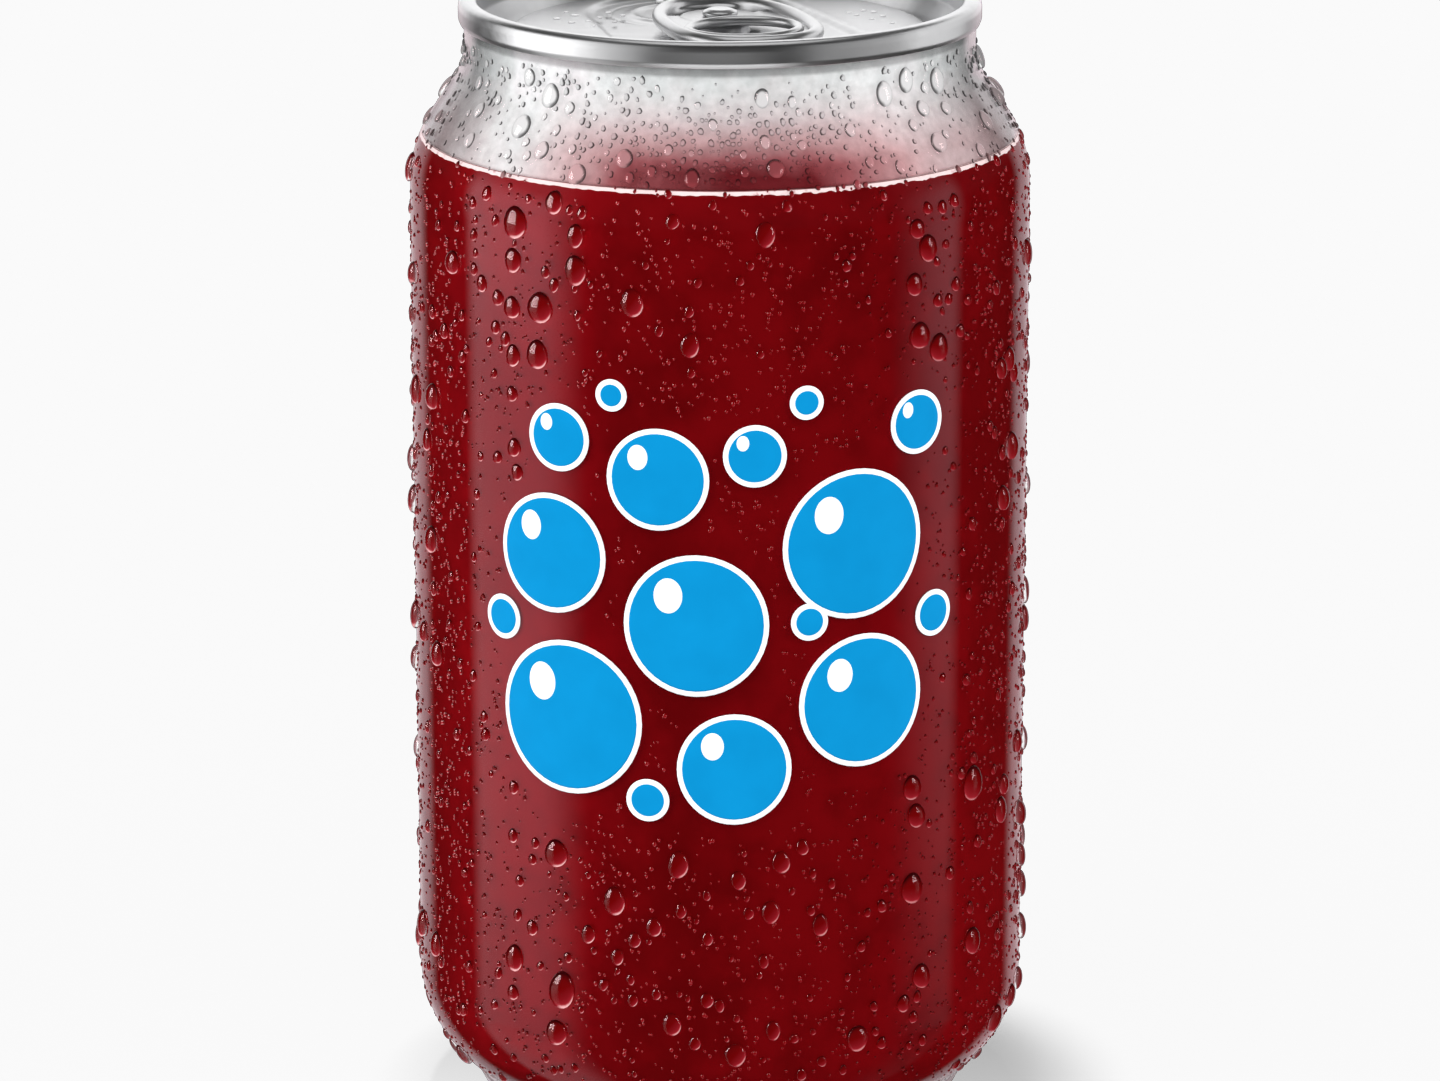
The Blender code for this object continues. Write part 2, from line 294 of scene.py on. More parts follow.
def finish(name, constants):
    """A Principled material with these constant inputs: returns it and a Shade of its tree."""
    made = bpy.data.materials.new(name)
    made.use_nodes = True
    shade = Shade(made.node_tree)
    for socket, value in constants.items():
        shade.give(socket, value)
    return made, shade


outer_profile = bent([*OUTER_CORNERS, (*UNDER_DOME_RIM, 0.0)], 20)
inner_profile = bent(INNER_CORNERS, 20)
cup = np.concatenate(
    [
        dome(tuple(inner_profile[0]), FLOOR_TOP, 10)[::-1],
        inner_profile[1:],
        outer_profile,
        dome(UNDER_DOME_RIM, UNDER_DOME_TOP, 20)[1:],
    ]
)
can_body = put("clear_body", *turned(cup, 256))
clear_plastic, shade = finish(
    "clear_plastic",
    {
        "Base Color": (0.98, 0.985, 0.99, 1),
        "Roughness": 0.0,
        "IOR": 1.57,
        "Specular Tint": (1.0, 0.72, 0.84, 1),
        "Transmission Weight": 1.0,
    },
)
shade.roughen(shade.noise(90.0, 1.0, (1, 1, 0.35)), 0.00003)
can_body.data.materials.append(clear_plastic)
hide([can_body], "shadow", "diffuse")
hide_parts("can_body")


# The drink is dark red and sparkling, filled into the shoulder. It wets the plastic, so its edge
# climbs the wall, and a line of fine froth clings there. It reaches a little into the wall.
DRINK_LEVEL = 107.5
INTO_WALL = 0.3
MENISCUS_RISE = 0.45
MENISCUS_REACH = 0.6


def tangents(profile):
    """Unit vectors along a profile, each along the chord of its point's neighbours."""
    along = np.gradient(profile, axis=0)
    return along / np.linalg.norm(along, axis=1, keepdims=True)


def swollen(profile, grow):
    """A profile moved out by grow along its normals."""
    along = tangents(profile)
    return profile + grow * np.stack([along[:, 1], -along[:, 0]], axis=1)


wet_wall = swollen(inner_profile, INTO_WALL)
edge_height = DRINK_LEVEL + MENISCUS_RISE
edge_radius = np.interp(edge_height, wet_wall[:, 1], wet_wall[:, 0])
from_edge = np.linspace(5.0, 0.0, 18)
climb = MENISCUS_RISE * np.exp(-from_edge / MENISCUS_REACH)
meniscus = np.stack([edge_radius - from_edge, DRINK_LEVEL + climb], axis=1)
below = wet_wall[wet_wall[:, 1] < edge_height - 0.1][::-1]
floor = dome(tuple(below[-1]), FLOOR_TOP - INTO_WALL, 8)[1:]
drink_profile = np.concatenate([[(0, DRINK_LEVEL)], meniscus, below, floor])
drink = put("red_drink", *turned(drink_profile, 192))
red_drink, shade = finish(
    "red_drink", {"Roughness": 0.42, "IOR": 3.2, "Specular Tint": (1.0, 0.015, 0.035, 1)}
)
depth = 0.55 * shade.noise(40.0, 3.0, (1, 1, 0.4)) + 0.45 * shade.noise(230.0, 3.0)
shade.give(
    "Base Color",
    depth.step(0.38, 0.62).mix((0.102, 0.0004, 0.0005, 1), (0.156, 0.0009, 0.0014, 1)),
)
shade.roughen(shade.noise(600.0, 2.0), 0.00002)
drink.data.materials.append(red_drink)
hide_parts("drink")


# The froth line: fine bubbles of the drink's edge against the wall, a narrow ring that reaches a
# little into the plastic and lies over the drink's edge.
FROTH_FOOT = 107.5
FROTH_TOP = 107.9
FROTH_OUT = 0.05
FROTH_DEEP = 0.3
FROTH_INWARD = 0.45


def band(profile, top, foot, steps):
    """A profile's points (radius, height) at even steps of height from top down to foot."""
    heights = np.linspace(top, foot, steps)
    return np.stack([np.interp(heights, profile[:, 1], profile[:, 0]), heights], axis=1)


froth_side = band(wet_wall, FROTH_TOP - 0.08, FROTH_FOOT + 0.05, 8) + (FROTH_OUT, 0)
froth_loop = np.concatenate(
    [
        froth_side[:1] + [(-FROTH_INWARD, 0.0), (-FROTH_INWARD + 0.06, 0.06), (-0.08, 0.08)],
        froth_side,
        froth_side[-1:] + [(-0.06, -0.05), (-FROTH_DEEP, -0.02)],
        froth_side[:1] + [(-FROTH_INWARD - 0.02, -0.3)],
    ]
)
points, faces = hoop(froth_loop, 720)
# the lower edge ripples in waves of four lengths, most where the bubbles are large
angle = np.arctan2(points[:, 0], -points[:, 1])
ripple = np.sin(37 * angle) + np.sin(61 * angle + 1) + np.sin(97 * angle + 2) + np.sin(149 * angle)
beaded = 0.5 + smooth(angle, 0.1, 0.3) * smooth(angle, 0.8, 0.6)
foot_share = smooth(points[:, 2], FROTH_FOOT + 0.3, FROTH_FOOT)
points[:, 2] -= 0.075 * beaded * np.clip(ripple, -1, 4) * foot_share
froth_line = put("froth_line", points, faces)
froth, shade = finish("froth", {"Roughness": 0.3, "IOR": 1.4})
bubbles = shade.noise(1100.0, 3.0)
shade.give("Base Color", bubbles.step(0.2, 0.42).mix((0.4, 0.16, 0.17, 1), (0.78, 0.6, 0.6, 1)))
shade.roughen(bubbles, 0.00025)
froth_line.data.materials.append(froth)


# The mist: fine condensation that fogs the inside of the neck above the drink. Its colour is
# painted light: it takes the drink's red at its foot in front and is white above and at the sides,
# and painted shade darkens it towards the sides and under the seam.
MIST_FOOT = 107.85
MIST_TOP = 120.6
MIST_OUT = 0.02
MIST_DEEP = 0.12
MIST_COVER = 0.94
MIST_COLOURS = [
    (0.0, (0.14, 0.008, 0.012, 1)),
    (0.15, (0.31, 0.085, 0.095, 1)),
    (0.45, (0.54, 0.33, 0.34, 1)),
    (0.78, (0.64, 0.54, 0.55, 1)),
    (1.0, (0.72, 0.72, 0.725, 1)),
]


def mist_white(height, angle):
    """How white the mist is painted at an angle from the camera's side: 0 is as red as the drink.

    In front it follows a table of heights, and a table of the sine brings it nearer to 1 at the
    sides, more on the left. The drink's red and the whiter sides are both painted light.
    """
    front = np.interp(
        height,
        [108.3, 109.7, 110.6, 112.4, 114.4, 116.5, 118],
        [0, 0.03, 0.14, 0.45, 0.78, 0.95, 1],
    )
    sides = np.interp(
        np.sin(angle),
        [-1, -0.9, -0.7, -0.5, -0.3, 0, 0.3, 0.55, 0.75, 1],
        [0.55, 0.8, 0.95, 0.5, 0.08, 0, 0.0, 0.28, 0.6, 0.55],
    )
    return front + (1 - front) * sides


def mist_light(angle):
    """How light the mist is painted: painted shade darkens it at the sides, seen along the wall."""
    return np.interp(
        np.sin(angle),
        [-1, -0.92, -0.8, -0.65, -0.3, 0, 0.3, 0.6, 0.75, 0.85, 0.95, 1],
        [0.36, 0.55, 0.95, 1.05, 1.0, 0.93, 1.0, 1.1, 1.0, 0.86, 0.5, 0.35],
    )


mist_side = band(inner_profile, MIST_TOP, MIST_FOOT, 40)
mist_loop = np.concatenate([mist_side - (MIST_OUT, 0), mist_side[::-1] - (MIST_DEEP, 0)])
points, faces = hoop(mist_loop, 256)
neck_mist = put("neck_mist", points, faces)
angle = np.arctan2(points[:, 0], -points[:, 1])
paint(neck_mist, "white", mist_white(points[:, 2], angle))
# painted light and shade: the mist falls off at the sides and is darker under the seam
paint(neck_mist, "light", mist_light(angle) * (1 - 0.42 * smooth(points[:, 2], 118.6, 119.0)))
mist, shade = finish("neck_mist", {"Roughness": 0.6, "IOR": 1.2})
grain = shade.noise(900.0, 3.0)
white = shade.painted("white") + 0.18 * (shade.noise(300.0, 3.0) - 0.55)
light = shade.painted("light") * (0.85 + 0.3 * grain)
shade.give("Base Color", white.ramp(MIST_COLOURS).scaled(light))
shade.give("Alpha", (1 - (1 - MIST_COVER) ** 0.5) * (0.8 + 0.4 * grain))
shade.roughen(grain, 0.00004)
neck_mist.data.materials.append(mist)
hide([neck_mist], "shadow")


# The foot's film: streaky grey painted reflections of the thick clear foot under the drink, a film
# which hides the drink's red there and thins out on the round edge above it.
FILM_TOP = 8.2
FILM_FULL = 5.6
FILM_FOOT = 0.3
FILM_OUT = 0.02
FILM_DEEP = 0.06

film_side = band(outer_profile[::-1], FILM_TOP, FILM_FOOT, 40)
film_loop = np.concatenate([film_side + (FILM_OUT, 0), film_side[::-1] - (FILM_DEEP, 0)])
points, faces = hoop(film_loop, 256)
foot_painted_reflection = put("foot_painted_reflection", points, faces)
paint(foot_painted_reflection, "cover", smooth(points[:, 2], FILM_TOP, FILM_FULL))
painted_reflection_finish, shade = finish("foot_painted_reflection", {"Roughness": 0.3, "IOR": 1.3})
# painted reflections: the grey streaks stand for what the thick clear foot reflects
streaks = shade.noise(1100.0, 3.0, (0.06, 0.06, 1)).step(0.38, 0.66)
shade.give("Base Color", streaks.mix((0.15, 0.1, 0.105, 1), (0.42, 0.37, 0.38, 1)))
shade.give("Alpha", shade.painted("cover") * (0.62 + 0.3 * streaks))
shade.roughen(streaks, 0.0001)
foot_painted_reflection.data.materials.append(painted_reflection_finish)
hide([foot_painted_reflection], "shadow")


# The print is flat blue ink with a white edge, laid on the outside of the wall. The design is a
# cluster of soda bubbles, each with a small white gleam, and it is repeated behind.
INK_TOP = 0.06
EDGE_TOP = 0.03
GLEAM_TOP = 0.08
GLEAM_FROM = 3.0
INK_ROOT = -0.15
EDGE_WIDTH = 0.55

wall_points = outer_profile[::-1]
wall_steps = np.linalg.norm(np.diff(wall_points, axis=0), axis=1)
wall_lengths = np.concatenate([[0], np.cumsum(wall_steps)])
wall_along = tangents(wall_points)


def on_wall(angle, along, out):
    """Points on the body's outside, or a distance out from it.

    angle goes round the axis from the camera's side, along is the distance up the profile from
    the foot, and out is measured along the profile's normal there.
    """
    r, z, along_r, along_z = (
        np.interp(along, wall_lengths, values) for values in (*wall_points.T, *wall_along.T)
    )
    r, z = r + out * along_z, z - out * along_r
    return np.stack([r * np.sin(angle), -r * np.cos(angle), z], axis=-1)


def along_at(height):
    """The distance up the profile at which the body's outside is at this height."""
    return np.interp(height, wall_points[:, 1], wall_lengths)


def pads(middles, loops, top, root):
    """Thin closed pads of ink on the wall, one for each middle (across, height) and its loop.

    A pad's rows are its loop at growing shares of its size at the height top, the whole loop a
    little lower, and the loop again at the height root, with a pole at both ends.
    """
    shares = np.array([0.25, 0.5, 0.75, 0.97, 1.0, 1.0])
    heights = np.array([top, top, top, top, top * 0.6, root])
    count = len(loops)
    flat = middles[:, None, None] + shares[None, :, None, None] * loops[:, None]
    out = np.broadcast_to(heights[None, :, None], flat.shape[:3])
    rows = on_wall(flat[..., 0] / BODY_RADIUS, along_at(flat[..., 1]), out)
    poles = [
        on_wall(middles[:, 0] / BODY_RADIUS, along_at(middles[:, 1]), np.full(count, level))
        for level in (top, root)
    ]
    points = [rows.reshape(count, -1, 3), poles[0][:, None], poles[1][:, None]]
    points = np.concatenate(points, axis=1)
    faces = capped(len(shares), loops.shape[1])
    return points.reshape(-1, 3), copies(faces, count, points.shape[1])


def rounds(radii, tall, sides=48):
    """Loops for pads: an oval of each radius, with its height times tall."""
    a = full_turn(sides)
    unit = np.stack([np.cos(a), np.sin(a)], axis=-1)
    return radii[:, None, None] * unit * np.array([1.0, tall])


# across, height and radius of each bubble on the front, in millimetres round the wall
BUBBLES = np.array([
    (-16.5, 51.5, 8.3), (1.5, 47.0, 6.0), (15.5, 53.5, 7.2), (-2.5, 62.5, 7.6),
    (-18.5, 69.0, 6.4), (14.5, 70.5, 8.0), (-6.5, 78.0, 5.4), (3.6, 80.6, 3.3),
    (-17.5, 81.5, 3.6), (22.0, 82.5, 3.4), (-25.0, 61.0, 2.4), (24.5, 61.5, 2.5),
    (9.0, 86.0, 1.8), (-11.4, 86.6, 1.7), (-7.6, 43.4, 2.3), (9.4, 62.6, 2.0),
])
bubble_at = np.concatenate([BUBBLES[:, :2], BUBBLES[:, :2] + (np.pi * BODY_RADIUS, 0)])
bubble_radii = np.tile(BUBBLES[:, 2], 2)
gleams = bubble_radii > GLEAM_FROM
gleam_at = bubble_at[gleams] + bubble_radii[gleams, None] * (-0.38, 0.42)
edge_loops = rounds(bubble_radii, 1.0)
blue_loops = rounds(bubble_radii - EDGE_WIDTH, 1.0)
gleam_loops = rounds(bubble_radii[gleams] * 0.2, 1.25, 32)
print_edge = put("print_edge", *pads(bubble_at, edge_loops, EDGE_TOP, INK_ROOT))
print_blue = put("print_blue", *pads(bubble_at, blue_loops, INK_TOP, INK_ROOT))
print_gleam = put("print_gleam", *pads(gleam_at, gleam_loops, GLEAM_TOP, INK_ROOT))
ink_white, shade = finish("ink_white", {"Roughness": 0.35, "IOR": 1.2})
tone = shade.noise(300.0, 2.0)
shade.give("Base Color", tone.mix((0.78, 0.8, 0.84, 1), (0.88, 0.9, 0.94, 1)))
shade.roughen(shade.noise(4000.0, 1.0), 0.000004)
ink_blue, shade = finish("ink_blue", {"Roughness": 0.4, "IOR": 1.1})
tone = shade.noise(250.0, 2.0)
shade.give("Base Color", tone.mix((0.001, 0.2, 0.45, 1), (0.002, 0.24, 0.53, 1)))
shade.roughen(shade.noise(4000.0, 1.0), 0.000004)
for piece in (print_edge, print_gleam):
    piece.data.materials.append(ink_white)
print_blue.data.materials.append(ink_blue)


# The end is pressed from thin aluminium sheet. Its edge is rolled with the neck into the seam,
# and its panel has a shallow pan with the rivet and the scored mouth. It is turned by 17 degrees.
END_TURN = np.radians(17)
SEAM_RADIUS = 27.7
PANEL_RADIUS = 22.3
PANEL_HEIGHT = 119.0
END_TOP_CORNERS = [
    (21.0, PANEL_HEIGHT, 0.0), (PANEL_RADIUS, PANEL_HEIGHT, 0.7), (PANEL_RADIUS, 116.0, 0.85),
    (24.1, 116.0, 0.85), (25.0, 118.0, 6.0), (25.7, 119.9, 1.2),
    (25.72, 122.5, 0.8), (27.5, 122.5, 0.7), (SEAM_RADIUS, 121.5, 2.2),
    (SEAM_RADIUS, 120.3, 0.8), (27.5, 119.82, 0.12), (27.38, 119.78, 0.05),
    (27.4, 122.1, 0.1), (26.1, 122.1, 0.2), (26.1, 119.6, 1.5),
    (24.5, 115.6, 1.2), (21.9, 115.6, 1.2), (21.9, 118.1, 0.6),
    (20.0, 118.1, 0.0),
]
PAN_DEPTH = 0.4
PAN_FINGER = (-7.6, 12.8)
PAN_MOUTH = (8.8, 11.5)


def pan_distance(x, y):
    """The distance outside the pan's outline, negative inside it.

    The outline is two circles and their common tangents. A point is measured from the circle or
    from the tangent that is nearest, by its place along the line that is square to the tangent.
    """
    x = np.abs(x)
    y = y - PAN_FINGER[0]
    apart = PAN_MOUTH[0] - PAN_FINGER[0]
    lean = (PAN_FINGER[1] - PAN_MOUTH[1]) / apart
    straight = np.sqrt(1 - lean**2)
    place = -lean * x + straight * y
    near_finger = np.hypot(x, y) - PAN_FINGER[1]
    near_mouth = np.hypot(x, y - apart) - PAN_MOUTH[1]
    near_side = straight * x + lean * y - PAN_FINGER[1]
    beyond = np.where(place > straight * apart, near_mouth, near_side)
    return np.where(place < 0, near_finger, beyond)


def oval_distance(x, y, centre, half_width, half_length):
    """Nearly the distance outside an oval: (its scaled radius - 1) times its mean half axis."""
    scaled = np.hypot(x / half_width, (y - centre) / half_length)
    return (scaled - 1) * (half_width + half_length) / 2


def panel_relief(x, y):
    """What is pressed into the panel: the pan and its rim, the mouth's score and its inner bead.

    The score and the bead fade out towards the rivet, where the mouth stays joined to the panel.
    """
    pan = -PAN_DEPTH * smooth(pan_distance(x, y), 0.5, -0.5)
    rim = 0.03 * np.exp(-((pan_distance(x, y) - 1.0) / 0.45) ** 2)
    mouth = oval_distance(x, y, 10.4, 8.9, 7.9)
    far = smooth(y, 4.5, 8.0)
    score = -0.13 * far * np.exp(-(mouth / 0.16) ** 2)
    bead = 0.22 * far * np.exp(-((mouth + 2.3) / 0.6) ** 2)
    return pan + rim + score + bead


def turned_with_end(points):
    """Points turned about Z by the angle of the end."""
    x, y, z = points.T
    return np.column_stack([spun(x, y, END_TURN), z])


panel_rows = np.stack([np.linspace(0, 20.9, 104), np.full(104, PANEL_HEIGHT)], axis=1)
end_profile = np.concatenate([panel_rows, bent(END_TOP_CORNERS, 9), [(0, 118.1)]])
points, faces = turned(end_profile, 384)
reach = np.hypot(points[:, 0], points[:, 1])
pressed = (points[:, 2] > PANEL_HEIGHT - 0.01) & (reach < 21.2)
points[pressed, 2] += panel_relief(points[pressed, 0], points[pressed, 1]) * smooth(
    reach[pressed], 21.2, 20.6
)
can_end = put("aluminium_end", turned_with_end(points), faces)
rivet_profile = bent(
    [
        (0, 121.0, 0), (1.2, 121.0, 0.7), (1.9, 120.7, 0.3), (1.85, 120.25, 0.15),
        (1.3, 120.2, 0.1), (1.3, 119.4, 0.1), (3.0, 119.4, 0.3), (3.25, 118.5, 0.1),
        (0, 118.4, 0),
    ],
    7,
)
rivet = put("rivet", *turned(rivet_profile, 64))
aluminium, shade = finish("aluminium", {"Metallic": 1.0})
grain = shade.noise(900.0, 3.0, (0.06, 1, 1))
blotch = shade.noise(60.0, 2.0)
shade.give("Base Color", blotch.mix((0.78, 0.78, 0.79, 1), (0.86, 0.86, 0.87, 1)))
shade.give("Roughness", 0.25 + 0.14 * grain)
shade.roughen(grain, 0.00002)
can_end.data.materials.append(aluminium)
rivet.data.materials.append(aluminium)
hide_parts("can_end")


# The pull tab is stamped from thicker sheet with its edges curled under. It has a finger hole, and
# a slot behind the rivet frees the tongue that holds it. It lies just over the pan.
TAB_FINGER_END = 17.9
TAB_NOSE_END = 7.4
TAB_HALF_WIDTH = 8.1
TAB_TAPER = 0.1
TAB_SQUARENESS = 2.5
CURL_RADIUS = 0.8
CURL_HEIGHT = 120.4
WEB_TOP = 120.3
WEB_UNDER = 119.7
HOLE_CENTRE = -8.5
HOLE_HALF_WIDTH = 5.3
HOLE_HALF_LENGTH = 4.6
HOLE_CURL = 0.55
HOLE_CURL_HEIGHT = 120.24


def tab_outline(inset, turns):
    """The tab's outline at the angles turns round the middle of the finger hole.

    The outline is an oval whose powers are 2 / squareness, wider by taper times the cosine towards
    the finger end. It is drawn in by inset, and read at each angle from a fine polygon of it.
    """
    t = full_turn(1440)
    middle = (TAB_FINGER_END - TAB_NOSE_END) / 2
    power = 2 / TAB_SQUARENESS
    cosine, sine = np.cos(t), np.sin(t)
    half_length = (TAB_FINGER_END + TAB_NOSE_END) / 2 - inset
    along = middle + half_length * np.sign(cosine) * np.abs(cosine) ** power
    across = (TAB_HALF_WIDTH - inset) * np.sign(sine) * np.abs(sine) ** power
    x, y = across * (1 + TAB_TAPER * cosine), -along - HOLE_CENTRE
    angle = np.arctan2(y, x)
    order = np.argsort(angle)
    reach = np.interp(turns, angle[order], np.hypot(x, y)[order], period=2 * np.pi)
    return np.stack([reach * np.cos(turns), HOLE_CENTRE + reach * np.sin(turns)], axis=1)


def outward(loop):
    """Unit normals of a closed flat loop, square to the chord of each point's neighbours."""
    chord = np.roll(loop, -1, axis=0) - np.roll(loop, 1, axis=0)
    chord /= np.linalg.norm(chord, axis=1, keepdims=True)
    return np.stack([chord[:, 1], -chord[:, 0]], axis=1)


def tongue_slot(x, y):
    """1 in the curved slot behind the rivet and 0 off it."""
    bearing = np.abs(np.arctan2(x, y))
    return smooth(np.abs(np.hypot(x, y) - 4.9), 0.75, 0.35) * smooth(bearing, 1.36, 1.24)


def web_relief(x, y):
    """The tongue's slot behind the rivet, and the tongue that lies a little lower."""
    reach = np.hypot(x, y)
    return -1.1 * tongue_slot(x, y) - 0.12 * smooth(reach, 4.6, 4.0)


turns = full_turn(288)
rim_loop = tab_outline(CURL_RADIUS, turns)
hole_reach = np.array([HOLE_HALF_WIDTH + HOLE_CURL, HOLE_HALF_LENGTH + HOLE_CURL])
ring = np.stack([np.cos(turns), np.sin(turns)], axis=1)
hole_scale = np.linalg.norm(ring / hole_reach, axis=1, keepdims=True)
hole_loop = ring / hole_scale + (0, HOLE_CENTRE)
rim_out, hole_out = outward(rim_loop), outward(hole_loop)
curl = np.radians(np.linspace(172, -172, 22))[:, None, None]
hole_curl = np.radians(np.linspace(-8, -352, 16))[:, None, None]
shares = np.linspace(0.04, 0.985, 64)[:, None, None]
rim_rows = rim_loop + CURL_RADIUS * np.cos(curl) * rim_out
rim_heights = CURL_HEIGHT + CURL_RADIUS * np.sin(curl[..., 0]) + 0 * turns
web_rows = hole_loop * (1 - shares) + (rim_loop - 0.75 * rim_out) * shares
web_heights = WEB_TOP + web_relief(web_rows[..., 0], web_rows[..., 1])
under_rows = web_rows[::-1][::6]
under_heights = np.full(under_rows.shape[:2], WEB_UNDER)
hole_rows = hole_loop + HOLE_CURL * np.cos(hole_curl) * hole_out
hole_heights = HOLE_CURL_HEIGHT + HOLE_CURL * np.sin(hole_curl[..., 0]) + 0 * turns
flat = np.concatenate([web_rows, rim_rows, under_rows, hole_rows])
heights = np.concatenate([web_heights, rim_heights, under_heights, hole_heights])
tab_points = np.concatenate([flat, heights[..., None]], axis=-1)
pull_tab = put(
    "pull_tab_curled",
    turned_with_end(tab_points.reshape(-1, 3)),
    [grid_faces(len(tab_points), len(turns), close_rows=True)],
)
# painted shade: the tongue's slot is painted nearly black, where it lies in shade
slot_shade = np.zeros(tab_points.shape[:2])
slot_shade[: len(web_rows)] = tongue_slot(web_rows[..., 0], web_rows[..., 1])
paint(pull_tab, "slot", slot_shade.ravel())
tab_aluminium, shade = finish("tab_aluminium", {"Metallic": 1.0})
grain = shade.noise(900.0, 3.0, (1, 0.08, 1))
bright = grain.mix((0.8, 0.8, 0.81, 1), (0.88, 0.88, 0.89, 1))
# painted shade in the slot over the metal's own colour
shade.give("Base Color", shade.painted("slot").step(0.1, 0.7).mix(bright, (0.02, 0.02, 0.02, 1)))
shade.give("Roughness", 0.27 + 0.12 * grain)
shade.roughen(grain, 0.000015)
pull_tab.data.materials.append(tab_aluminium)
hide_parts("pull_tab")


# Dew has formed on the cold wall: drops of water, taller than they are wide, that sit a little into
# the surface. Large and middle-sized ones are clear, over a disc painted with what they show of the
# drink or the mist behind, and with painted light and shade. The fine ones and those on the end are
# too small to see into, and their own colour holds painted light and shade.
rng = np.random.default_rng(330)
DROP_ROOT = 0.08
SHADE_OUT = 0.015
SHADE_ROOT = 0.05
# the most visible drops: millimetres round the wall from the camera's side, height, half width
PLACED = np.array([
    (-22.8, 103.5, 1.4), (-18.1, 106.1, 1.0), (-15.3, 103.0, 0.9), (-23.1, 99.5, 1.0),
    (-15.3, 99.4, 1.2), (-18.9, 98.8, 0.5), (-23.3, 94.5, 1.0), (-19.6, 95.0, 1.4),
    (-23.2, 89.4, 0.9), (-20.0, 90.0, 1.2), (-19.3, 86.5, 1.0), (-23.4, 85.3, 0.7),
    (-25.3, 95.2, 0.7), (-27.8, 96.3, 0.7), (-33.0, 97.6, 1.1), (-9.1, 96.5, 1.2),
    (-3.1, 92.3, 1.0), (-14.4, 85.0, 1.0), (4.6, 103.8, 1.0), (-4.9, 105.1, 0.7),
    (-23.2, 79.6, 0.8), (-22.8, 77.0, 0.7), (-24.3, 91.0, 0.6), (-25.7, 92.0, 0.6),
    (-35.0, 89.8, 0.7), (-27.3, 105.8, 0.6), (21.7, 103.0, 0.9), (23.2, 100.8, 1.1),
    (22.2, 91.7, 1.2), (24.9, 90.0, 1.2), (27.4, 96.3, 0.6), (21.4, 97.2, 1.0),
    (21.1, 98.8, 0.5), (24.7, 95.0, 0.6), (25.4, 104.7, 0.6), (27.3, 105.1, 0.6),
    (28.2, 91.2, 0.6), (-21.9, 43.1, 0.9), (-23.7, 42.5, 0.6), (-18.1, 36.3, 1.3),
    (-18.2, 33.9, 0.9), (-23.8, 23.5, 1.1), (-17.5, 21.2, 1.5), (-18.2, 16.3, 1.2),
    (-11.3, 32.0, 1.2), (-9.4, 39.3, 1.1), (-14.3, 27.9, 0.8), (-11.0, 25.8, 0.7),
    (-5.1, 18.8, 1.0), (-4.4, 36.5, 1.1), (-7.0, 29.5, 0.8), (-1.4, 21.6, 0.7),
    (-21.3, 27.4, 0.7), (-24.1, 19.5, 0.7), (-20.8, 36.9, 0.5), (-23.9, 37.1, 0.6),
    (-9.1, 27.9, 0.7), (-1.3, 28.5, 0.6), (6.4, 36.7, 1.0), (1.9, 34.9, 0.8),
    (5.3, 31.3, 1.0), (31.3, 41.2, 1.5), (21.8, 31.7, 1.3), (22.3, 39.7, 1.1),
    (21.7, 42.9, 1.1), (23.2, 21.6, 1.1), (31.6, 23.4, 1.2), (38.7, 39.0, 0.9),
    (15.0, 16.2, 1.2), (1.6, 15.5, 1.1), (3.6, 38.9, 0.7), (8.7, 38.2, 0.7),
    (10.7, 29.4, 0.9), (27.5, 32.1, 0.6), (20.8, 19.0, 0.8), (5.6, 18.1, 0.8),
    (-26.6, 117.3, 0.8), (-22.7, 115.8, 1.1), (-25.7, 112.5, 1.1), (-19.5, 114.9, 0.6),
    (-20.4, 112.7, 0.5), (-21.4, 110.7, 0.8), (-23.2, 110.0, 0.5), (-17.5, 111.2, 0.5),
    (-26.0, 109.8, 0.5), (-16.0, 109.0, 1.0), (-10.8, 110.8, 0.9), (-3.0, 109.3, 0.8),
    (-7.5, 109.8, 0.5), (-5.9, 111.8, 0.5), (5.2, 116.7, 0.8), (9.0, 116.2, 0.5),
    (6.1, 110.1, 0.9), (25.7, 117.1, 1.0), (21.9, 116.1, 1.0), (31.8, 116.3, 1.1),
    (27.7, 114.0, 0.8), (31.9, 113.5, 0.7), (27.7, 110.7, 1.0), (15.9, 113.1, 0.6),
    (25.0, 112.7, 0.6), (9.5, 112.1, 0.5), (20.9, 109.2, 0.6), (-34.7, 112.9, 0.7),
    (-33.4, 110.1, 0.7), (39.2, 111.2, 0.9), (34.4, 109.0, 0.7),
])
DROP_SPACING = 1.05
HALF_ROUND = np.pi * BODY_RADIUS
PRINT_REACH = 25.5
PRINT_SPAN = (38.5, 88.5)
LARGE_AT_RANDOM = 120
FINE_MOST = 6000
DULL_MOST = 4000
SPACED_BELOW = 4000


def gaps(place, size, others, other_sizes):
    """The free distance from each drop to each of the others, with heights taken at 1/1.2."""
    apart = place[:, None] - others[None]
    apart[..., 0] = (apart[..., 0] + HALF_ROUND) % (2 * HALF_ROUND) - HALF_ROUND
    reach = DROP_SPACING * (size[:, None] + other_sizes[None])
    return np.hypot(apart[..., 0], apart[..., 1] / 1.2) - reach


def settled(place, size, others=(), other_sizes=(), spare=0.45):
    """Drops that are off the print, off the others, and off the earlier ones of their own.

    A set of SPACED_BELOW or more isn't tested against itself.
    """
    kept = gaps(place, size + spare, bubble_at, bubble_radii).min(axis=1) > 0
    if len(others):
        kept &= gaps(place, size, others, other_sizes).min(axis=1) > 0
    place, size = place[kept], size[kept]
    if len(place) < SPACED_BELOW:
        touching = np.tril(gaps(place, size, place, size) < 0, -1).any(axis=1)
        place, size = place[~touching], size[~touching]
    return place, size


